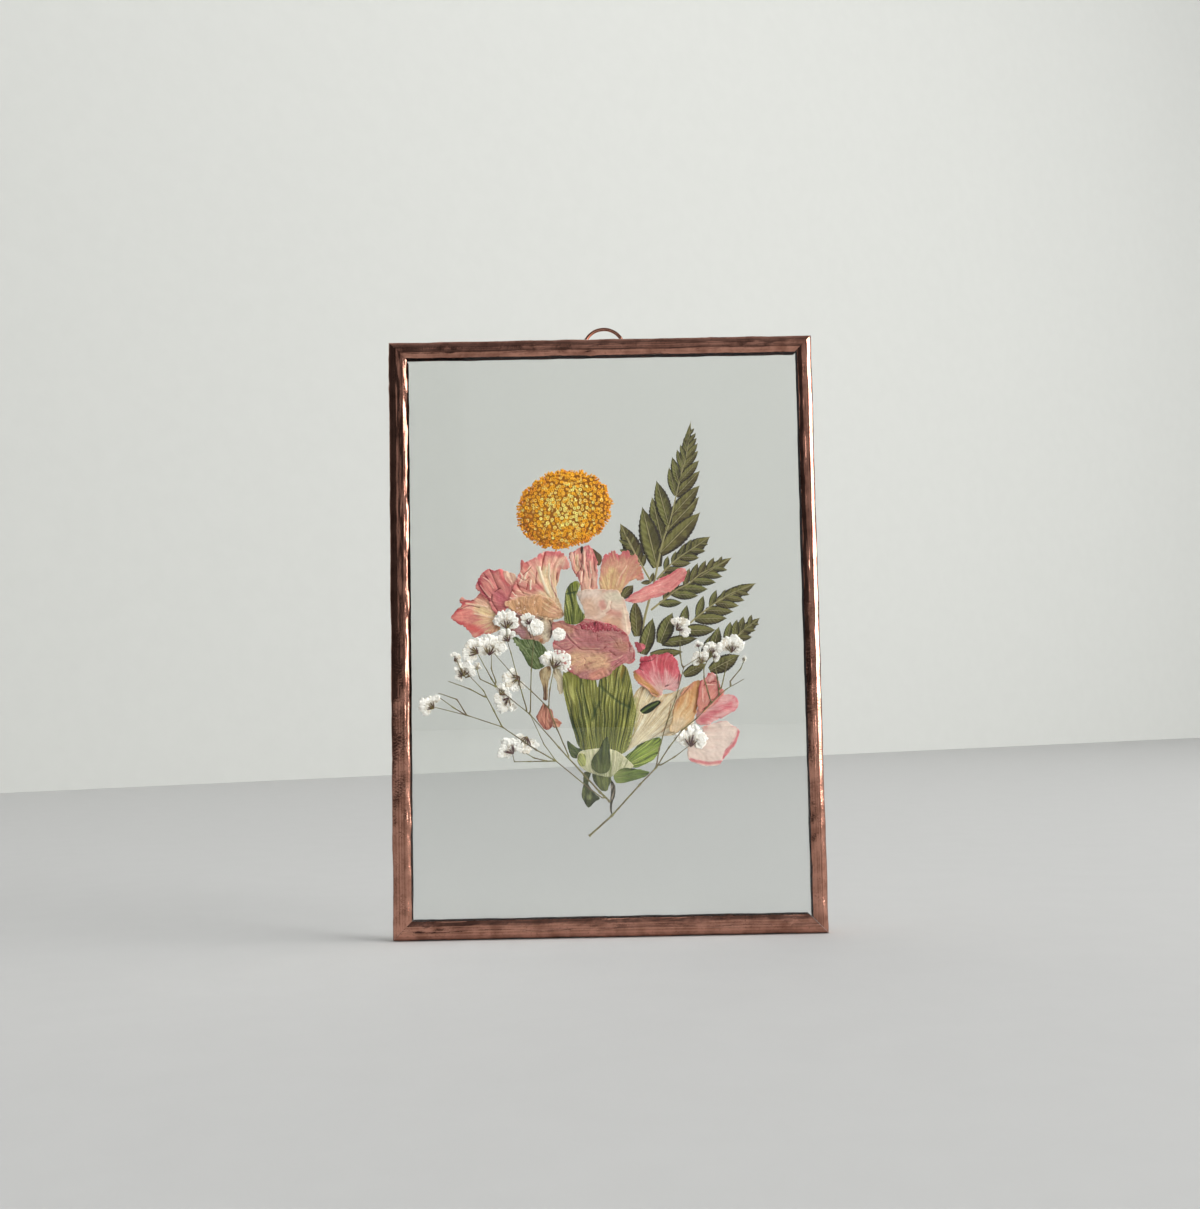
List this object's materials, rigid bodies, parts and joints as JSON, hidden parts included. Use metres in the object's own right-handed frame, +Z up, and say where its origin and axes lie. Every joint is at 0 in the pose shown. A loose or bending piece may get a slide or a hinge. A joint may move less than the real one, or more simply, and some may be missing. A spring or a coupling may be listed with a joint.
{
  "type": "pressed flower frame",
  "caption": "Hanging frame of two clear glass panes in a hand-formed copper rim, with a pressed bouquet held between the panes.",
  "frame": {"origin": "bearing point inside the top of the wire hanging loop", "axes": "+Z up along the frame's height, +X to the right seen from the front, the front faces -Y"},
  "size_m": [0.1294, 0.0085, 0.1856],
  "materials": {
    "copper": "hand-worked copper and solder, polished with dark patches",
    "glass": "clear polished glass",
    "billy_button": "matt, densely bumpy",
    "dark_stem": "matt",
    "fern": "matt dried leaf",
    "petal_salmon": "matt dried petal",
    "petal_pale": "matt dried petal",
    "petal_mauve": "matt dried petal",
    "petal_crimson": "matt dried petal",
    "petal_cream": "matt dried petal",
    "petal_tan": "matt dried petal",
    "calyx": "matt, striped dried calyx",
    "bract": "matt dried bract",
    "sprig": "matt dried florets and stems"
  },
  "bodies": {
    "root": {"rim_top": "copper", "rim_bottom": "copper", "rim_left": "copper", "rim_right": "copper", "hanging_loop": "copper", "front_pane": "glass", "back_pane": "glass", "billy_button_head": "billy_button", "billy_button_stem": "dark_stem", "leaf_bit": "dark_stem", "stem_stub": "dark_stem", "fern_frond": "fern", "fern_pinna_left": "fern", "fern_pinna_1": "fern", "fern_pinna_2": "fern", "fern_pinna_3": "fern", "fern_pinna_4": "fern", "fern_leaflet_1": "fern", "fern_leaflet_2": "fern", "fern_leaflet_3": "fern", "fern_leaflet_4": "fern", "fern_leaflet_5": "fern", "fern_leaflet_6": "fern", "fern_leaflet_7": "fern", "fern_leaflet_8": "fern", "leaf_left": "fern", "petal_far_left": "petal_salmon", "petal_left": "petal_salmon", "petal_fan_left": "petal_salmon", "petal_fan_right": "petal_salmon", "petal_long_pink": "petal_salmon", "petal_rose_lower": "petal_salmon", "petal_folded": "petal_pale", "petal_pale": "petal_pale", "petal_blush": "petal_pale", "petal_mauve": "petal_mauve", "petal_under": "petal_mauve", "petal_crimson": "petal_crimson", "petal_rose_upper": "petal_crimson", "petal_cream_fan": "petal_cream", "petal_tan": "petal_tan", "petal_scrap": "petal_tan", "petal_bud": "petal_tan", "petal_flake": "petal_tan", "petiole": "petal_tan", "calyx_sliver": "petal_tan", "calyx_upper": "calyx", "calyx_main": "calyx", "bract_left_pale": "calyx", "bract_light": "calyx", "calyx_collar": "bract", "bract_centre": "bract", "bract_left": "bract", "bract_right": "bract", "bract_foot": "bract", "leaf_foot": "bract", "sprig_left": "sprig", "sprig_right": "sprig"}
  },
  "joints": []
}
